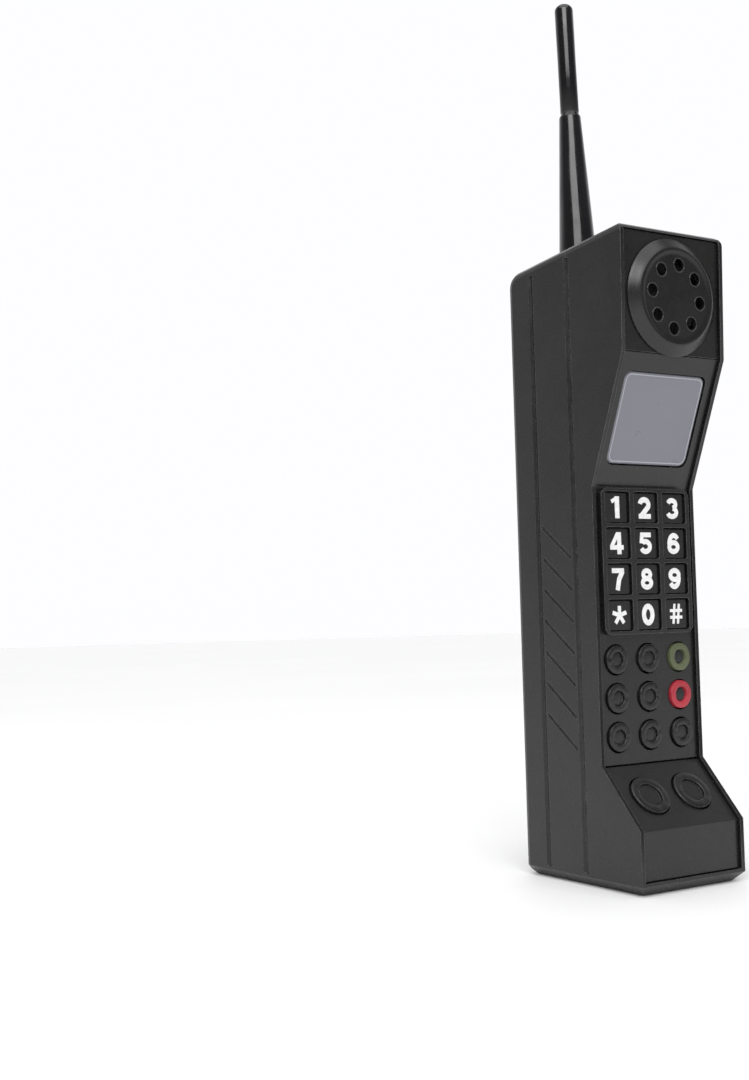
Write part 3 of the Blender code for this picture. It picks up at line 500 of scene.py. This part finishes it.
def housing():
    for node in ("front_housing", "rear_housing", "keypad_bezel", "battery_door", "battery_holder"):
        eased(node)
    eased("earpiece_panel")
    main = eased("main_panel")
    lower = eased("lower_panel")

    # The seam across the front, where both panels are cut back
    upper = facing(*flat_front("main_panel"))
    foot = min((upper.inverted() @ vert.co).y for vert in nodes["main_panel"].data.vertices)
    cut_back(main, upper @ Matrix.Translation((0, foot, 0)))
    slope = facing(*flat_front("lower_panel"))
    head = max((slope.inverted() @ vert.co).y for vert in nodes["lower_panel"].data.vertices)
    cut_back(lower, slope @ Matrix.Translation((0, head, 0)))


# ---------------------------------------------------------------- controls

def number_keys():
    for label in KEYS:
        eased(f"key_{label}", 0.2 * MM)


def strokes_of(label):
    """The strokes of a numeral: (points, closed, width) in shares of its height, about its middle."""
    w = NUMERAL_STROKE
    if label == "0":
        return [(arc((0, 0), (0.26, 0.375), 0, 348, 28), True, w)]
    if label == "1":
        stem = [(0.08, -0.5), (0.08, 0.5)]
        return [(stem, False, w * 1.08), ([(-0.26, 0.25), (0.04, 0.40)], False, w * 0.72)]
    if label == "2":
        curl = arc((0.0, 0.15), (0.265, 0.225), 172, -28, 14)
        return [([*curl, (-0.2, -0.375)], False, w), ([(-0.36, -0.39), (0.39, -0.39)], False, w * 0.88)]
    if label == "3":
        upper = arc((-0.01, 0.195), (0.235, 0.18), 165, -78, 16)
        lower = arc((-0.01, -0.18), (0.27, 0.195), 78, -165, 16)
        return [(upper, False, w * 0.94), (lower, False, w * 0.94)]
    if label == "4":
        leg = [(0.13, -0.5), (0.13, 0.5)]
        slant = [(0.06, 0.46), (-0.32, -0.14)]
        return [(leg, False, w), (slant, False, w * 0.8), ([(-0.42, -0.19), (0.39, -0.19)], False, w * 0.84)]
    if label == "5":
        bowl = arc((-0.01, -0.145), (0.27, 0.23), 128, -158, 18)
        return [([(0.34, 0.39), (-0.21, 0.39), (-0.26, 0.0)], False, w * 0.88), (bowl, False, w * 0.94)]
    if label in ("6", "9"):
        loop = arc((0.0, -0.165), (0.265, 0.21), 0, 345, 24)
        stem = arc((0.03, -0.05), (0.295, 0.425), 182, 38, 14)
        turn = 1 if label == "6" else -1
        loop = [turn * Vector(p) for p in loop]
        stem = [turn * Vector(p) for p in stem]
        return [(loop, True, w * 0.94), (stem, False, w * 0.94)]
    if label == "7":
        leg = [(0.27, 0.36), (0.05, 0.0), (-0.06, -0.5)]
        return [([(-0.37, 0.39), (0.36, 0.39)], False, w * 0.88), (leg, False, w)]
    if label == "8":
        upper = arc((0, 0.2), (0.215, 0.178), 0, 345, 24)
        lower = arc((0, -0.18), (0.26, 0.198), 0, 345, 24)
        return [(upper, True, w * 0.92), (lower, True, w * 0.92)]
    if label == "star":
        angles = [math.radians(90 + 72 * i) for i in range(5)]
        return [([(0, 0), (0.43 * math.cos(a), 0.43 * math.sin(a))], False, 0.19) for a in angles]
    upright = [([(x - 0.05, -0.46), (x + 0.05, 0.46)], False, 0.14) for x in (-0.13, 0.15)]
    return upright + [([(-0.38, y), (0.39, y)], False, 0.14) for y in (-0.16, 0.15)]


def ribbon(shape, points, closed, width, level):
    """A flat band of this width along the points, with mitred corners."""
    points = [Vector(point).to_2d() for point in points]
    count = len(points)
    sides = []
    for i, point in enumerate(points):
        before = points[i - 1] if closed or i else None
        after = points[(i + 1) % count] if closed or i < count - 1 else None
        arrive = (point - before).normalized() if before else (after - point).normalized()
        leave = (after - point).normalized() if after else arrive
        along = (arrive + leave).normalized()
        aside = Vector((-along.y, along.x)) * width / 2 / max(along.dot(arrive), 0.5)
        sides.append([shape.verts.new((*(point + aside * sign), level)) for sign in (1, -1)])
    pairs = list(zip(sides, sides[1:] + sides[:1])) if closed else list(zip(sides, sides[1:]))
    for (a, b), (c, d) in pairs:
        shape.faces.new((a, b, d, c))


def thicken(shape, depth):
    """Gives a flat shape this thickness above and below itself."""
    fronts = list(shape.faces)
    rims = [edge for edge in shape.edges if edge.is_boundary]
    below = {}
    for vert in list(shape.verts):
        below[vert] = shape.verts.new((vert.co.x, vert.co.y, vert.co.z - depth))
        vert.co.z += depth
    for face in fronts:
        shape.faces.new([below[vert] for vert in reversed(face.verts)])
    for edge in rims:
        start, end = edge.verts
        shape.faces.new((start, end, below[end], below[start]))


def numerals():
    for label in KEYS:
        node = f"key_{label}"
        centre, normal = flat_front(node)
        centre.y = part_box(node)[0].y
        shape = bmesh.new()
        for i, (points, closed, width) in enumerate(strokes_of(label)):
            ribbon(shape, points, closed, width, i * 0.001)
        bmesh.ops.scale(shape, vec=(NUMERAL_TALL,) * 3, verts=shape.verts)
        thicken(shape, NUMERAL_LIFT)
        piece = new_piece(f"numeral_{label}", shape, print_white)
        piece.matrix_world = facing(centre, normal)
        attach(piece, node)


def ring_button(node):
    """A raised ring, a little uneven as hand-finished moulds are, round a low black centre."""
    centre, _ = flat_front(node)
    place = facing(centre, -joint_axis[node])
    top = level_of(node, place)
    foot = top - RING_TALL
    inverse = place.inverted()
    corners = [inverse @ vert.co for vert in nodes[node].data.vertices]
    crest = [corner.xy.length for corner in corners if corner.z > top - 0.01 * MM]
    inner = min(crest) - 0.1 * MM
    outer = max(crest) + 0.15 * MM
    middle = [
        (0, foot + 0.3 * MM),
        (inner * 0.6, foot + 0.26 * MM),
        (inner - 0.55 * MM, foot + 0.22 * MM),
    ]
    ring = [
        (inner - 0.4 * MM, foot - 0.1 * MM),
        (inner - 0.15 * MM, foot - 0.1 * MM),
        (inner, top - 0.3 * MM),
        (inner + 0.12 * MM, top - 0.06 * MM),
        (inner + 0.35 * MM, top),
        (outer - 0.4 * MM, top - 0.05 * MM),
        (outer - 0.12 * MM, top - 0.14 * MM),
        (outer, top - 0.4 * MM),
        (outer + 0.05 * MM, foot - 1.2 * MM),
        (0, foot - 1.2 * MM),
    ]
    piece = spun(f"{node}_shell", middle + ring, place, finishes[slots[node]], 72)
    for vert in piece.data.vertices:
        across = vert.co.xy.length
        if across > inner * 0.8:
            turn = Vector((vert.co.x, vert.co.y, 0)).normalized()
            wobble = noise.noise(turn * 1.9 + centre * 900) * 0.2 * MM
            vert.co.xy = vert.co.xy * (1 + wobble / across)
            vert.co.z += noise.noise(turn * 2.3 - centre * 700) * 0.1 * MM
    piece.data.materials.append(finishes["satin_black"])
    for face in piece.data.polygons:
        if face.center.xy.length < inner - 0.2 * MM:
            face.material_index = 1
    stands_for(piece, node)


def buttons():
    for node in SMALL_BUTTONS + LARGE_BUTTONS:
        ring_button(node)


# ---------------------------------------------------------------- earpiece, display, antenna

def rounded_rectangle(width, height, radius):
    points = []
    for i, (x, y) in enumerate(((1, 1), (-1, 1), (-1, -1), (1, -1))):
        corner = (x * (width / 2 - radius), y * (height / 2 - radius))
        points += arc(corner, (radius, radius), 90 * i, 90 * i + 90, 8)
    return points


def display():
    """A pane with a bevelled edge and a fine ridge inside it, the ridge coloured lighter grey as a painted
    highlight.
    """
    eased("display_window", 0.6 * MM, 3, 35)
    place = facing(*flat_front("display_window"))
    reach = extent_of("display_window", place)
    shape = bmesh.new()
    width = 2 * reach.x - 2 * PANE_RIDGE_IN
    height = 2 * reach.y - 2 * PANE_RIDGE_IN
    outline = rounded_rectangle(width, height, PANE_RIDGE_ROUND)
    ribbon(shape, outline, True, 0.35 * MM, 0)
    thicken(shape, 0.1 * MM)
    ridge = new_piece("display_ridge", shape, pane_edge_highlight)
    ridge.matrix_world = place
    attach(ridge, body_of["display_window"])


def earpiece():
    """A conical cap with a soft lip round a dished face, and a raised rim round each sound hole."""
    _, normal = flat_front("earpiece_cap")
    low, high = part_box("earpiece_cap")
    place = facing((low + high) / 2, normal)
    top = level_of("earpiece_cap", place)
    reach = reach_of("earpiece_cap", place)
    lip = 0.8 * reach
    dish = top - 0.5 * MM
    profile = [
        (0, dish),
        (lip - 2.2 * MM, dish),
        (lip - 1.3 * MM, dish + 0.15 * MM),
        (lip - 0.7 * MM, top - 0.08 * MM),
        (lip, top),
        (lip + 0.6 * MM, top - 0.22 * MM),
        (lip + 1.6 * MM, top - 0.95 * MM),
        (reach - 0.9 * MM, top - 2.2 * MM),
        (reach - 0.25 * MM, top - 2.6 * MM),
        (reach, top - 2.9 * MM),
        (reach, top - 3.1 * MM),
        (reach - 2.0 * MM, top - 3.1 * MM),
        (lip - 2.0 * MM, top - 1.8 * MM),
        (0, top - 1.8 * MM),
    ]
    cap = spun("earpiece_cap_shell", profile, place, finishes["satin_black"], 128)
    angles = [EAR_HOLE_TURN + i * 2 * math.pi / EAR_HOLES for i in range(EAR_HOLES)]
    spots = [Vector((math.cos(a), math.sin(a), 0)) * EAR_HOLE_CIRCLE for a in angles]
    drills = bmesh.new()
    for spot in spots:
        at = Matrix.Translation(spot + Vector((0, 0, top)))
        bmesh.ops.create_cone(
            drills,
            cap_ends=True,
            segments=40,
            radius1=EAR_HOLE,
            radius2=EAR_HOLE,
            depth=8 * MM,
            matrix=at,
        )
    cut_through(cap, drills)
    stands_for(cap, "earpiece_cap")
    for i, spot in enumerate(spots, 1):
        rim = [
            (EAR_HOLE - 0.02 * MM, dish - 0.6 * MM),
            (EAR_HOLE - 0.02 * MM, dish + 0.02 * MM),
            (EAR_HOLE + 0.12 * MM, dish + 0.14 * MM),
            (EAR_HOLE + 0.32 * MM, dish + 0.14 * MM),
            (EAR_HOLE + 0.5 * MM, dish - 0.05 * MM),
        ]
        ring = spun(f"sound_hole_rim_{i}", rim, place @ Matrix.Translation(spot), finishes["satin_black"], 40)
        ring.parent = cap
        ring.matrix_world = place @ Matrix.Translation(spot)


def antenna():
    """A tapered sleeve and the rod that slides in it."""
    up = -joint_axis["antenna_rod"]
    low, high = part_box("antenna_rod")
    place = Matrix.Translation((low + high) / 2) @ up.to_track_quat("Z", "Y").to_matrix().to_4x4()
    tip = level_of("antenna_rod", place)
    mouth = level_of("antenna_sleeve", place)
    rod_radius = reach_of("antenna_rod", place)
    foot_radius = reach_of("antenna_sleeve", place)
    dome = []
    for i in range(11):
        angle = math.pi / 2 * i / 10
        dome.append((rod_radius * math.sin(angle), tip - rod_radius * 0.8 * (1 - math.cos(angle))))
    line = mouth + 1.2 * MM
    hidden = mouth - 14 * MM
    rod = [
        *dome,
        (rod_radius, tip - 12 * MM),
        (rod_radius * 0.985, tip - 24 * MM),
        (rod_radius, line + 0.5 * MM),
        (rod_radius - 0.25 * MM, line),
        (rod_radius, line - 0.4 * MM),
        (rod_radius, hidden),
        (0, hidden),
    ]
    stands_for(spun("antenna_rod_shell", rod, place, finishes["gloss_black"], 96), "antenna_rod")
    eased("antenna_sleeve", 0.2 * MM)


def battery_cells():
    """Dry cells with a sleeve, a coloured band by the positive end, and bare metal ends."""
    for node in [node for node in nodes if node.startswith("battery_cell_")]:
        low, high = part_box(node)
        middle = (low + high) / 2
        near_top = [vert.co - middle for vert in nodes[node].data.vertices if vert.co.z > high.z - 0.1 * MM]
        up = 1 if max(vert.xy.length for vert in near_top) < 3 * MM else -1
        place = Matrix.Translation(middle) @ Matrix.Rotation(0 if up > 0 else math.pi, 4, "X")
        radius = (high.x - low.x) / 2
        half = (high.z - low.z) / 2
        shoulder = half - 1.0 * MM
        band = shoulder - 0.27 * half
        profile = [
            (0, half),
            (1.5 * MM, half),
            (1.85 * MM, half - 0.25 * MM),
            (1.9 * MM, shoulder),
            (radius - 1.0 * MM, shoulder + 0.05 * MM),
            (radius - 0.4 * MM, shoulder - 0.05 * MM),
            (radius - 0.05 * MM, shoulder - 0.35 * MM),
            (radius, shoulder - 0.8 * MM),
            (radius, band),
            (radius, 0.6 * MM - half),
            (radius - 0.15 * MM, 0.2 * MM - half),
            (radius - 0.7 * MM, -half),
            (radius - 1.1 * MM, 0.15 * MM - half),
            (0, 0.15 * MM - half),
        ]
        cell = spun(f"{node}_shell", profile, place, finishes[slots[node]], 48)
        cell.data.materials.append(cell_band)
        cell.data.materials.append(finishes["zinc_steel"])
        for face in cell.data.polygons:
            if face.center.xy.length < radius - 0.5 * MM:
                face.material_index = 2
            elif face.center.z > band:
                face.material_index = 1
        stands_for(cell, node)


def other_nodes():
    """CAD nodes whose shape is right as it is."""
    for node, piece in nodes.items():
        if not piece.hide_render:
            piece.data.materials.clear()
            piece.data.materials.append(finishes[slots[node]])


housing()
number_keys()
numerals()
buttons()
display()
earpiece()
antenna()
battery_cells()
other_nodes()


# ---------------------------------------------------------------- studio

def surroundings():
    """A white backdrop behind the handset, and a room that is dimmer in front and above."""
    world = bpy.data.worlds.new("studio")
    bpy.context.scene.world = world
    world.use_nodes = True
    tree = world.node_tree

    def node(kind, **values):
        made = tree.nodes.new(kind)
        for key, value in values.items():
            made.inputs[key].default_value = value
        return made

    direction = tree.nodes.new("ShaderNodeTexCoord").outputs["Generated"]
    split = tree.nodes.new("ShaderNodeSeparateXYZ")
    tree.links.new(direction, split.inputs["Vector"])
    toward = tree.nodes.new("ShaderNodeVectorMath")
    toward.operation = "DOT_PRODUCT"
    toward.inputs[1].default_value = (math.sin(CAMERA_AZIMUTH), math.cos(CAMERA_AZIMUTH), 0)
    tree.links.new(direction, toward.inputs[0])
    rise = {"From Min": -0.02, "From Max": 0.2, "To Min": ROOM, "To Max": ROOM_ABOVE}
    above = node("ShaderNodeMapRange", **rise)
    tree.links.new(split.outputs["Z"], above.inputs["Value"])
    behind = node("ShaderNodeMapRange", **{"From Min": -0.1, "From Max": 0.8})
    behind.interpolation_type = "SMOOTHSTEP"
    tree.links.new(toward.outputs["Value"], behind.inputs["Value"])
    level = node("ShaderNodeMix", B=BACKDROP)
    tree.links.new(behind.outputs["Result"], level.inputs["Factor"])
    tree.links.new(above.outputs["Result"], level.inputs["A"])
    tree.links.new(level.outputs["Result"], tree.nodes["Background"].inputs["Strength"])
    tree.nodes["Background"].inputs["Color"].default_value = (0.985, 0.985, 1.0, 1)


def lamp(name, kind, place, aim, energy):
    light = bpy.data.lights.new(name, kind)
    light.energy = energy
    made = bpy.data.objects.new(name, light)
    bpy.context.scene.collection.objects.link(made)
    made.location = place
    made.rotation_euler = (Vector(place) - aim).to_track_quat("Z", "Y").to_euler()
    return light


def studio():
    surroundings()
    shape = bmesh.new()
    bmesh.ops.create_circle(shape, cap_ends=True, segments=96, radius=FLOOR_RADIUS)
    ground = new_piece("studio_floor", shape, floor_finish("studio_floor"))
    ground.location = (0, 0, -FLOOR_DROP)

    middle = (cad_box[0] + cad_box[1]) / 2
    sky = lamp("overhead_light", "SUN", OVERHEAD_PLACE, middle, OVERHEAD_STRENGTH)
    sky.angle = OVERHEAD_SPREAD
    aim = middle + Vector((0, 0, SOFTBOX_AIM_UP))
    softbox = lamp("softbox", "AREA", SOFTBOX_PLACE, aim, SOFTBOX_POWER)
    softbox.shape = "RECTANGLE"
    softbox.size, softbox.size_y = SOFTBOX_SIZE


def camera():
    lens = bpy.data.cameras.new("camera")
    lens.sensor_width = 36.0
    lens.lens = CAMERA_LENS
    lens.clip_start = 0.01
    eye = bpy.data.objects.new("camera", lens)
    bpy.context.scene.collection.objects.link(eye)
    turn = Matrix.Rotation(-CAMERA_AZIMUTH, 4, "Z") @ Matrix.Rotation(math.pi / 2 + CAMERA_ELEVATION, 4, "X")
    eye.matrix_world = Matrix.Translation(CAMERA_PLACE) @ turn @ Matrix.Rotation(CAMERA_ROLL, 4, "Z")
    bpy.context.scene.camera = eye


studio()
camera()
bpy.context.scene.view_settings.view_transform = "Standard"
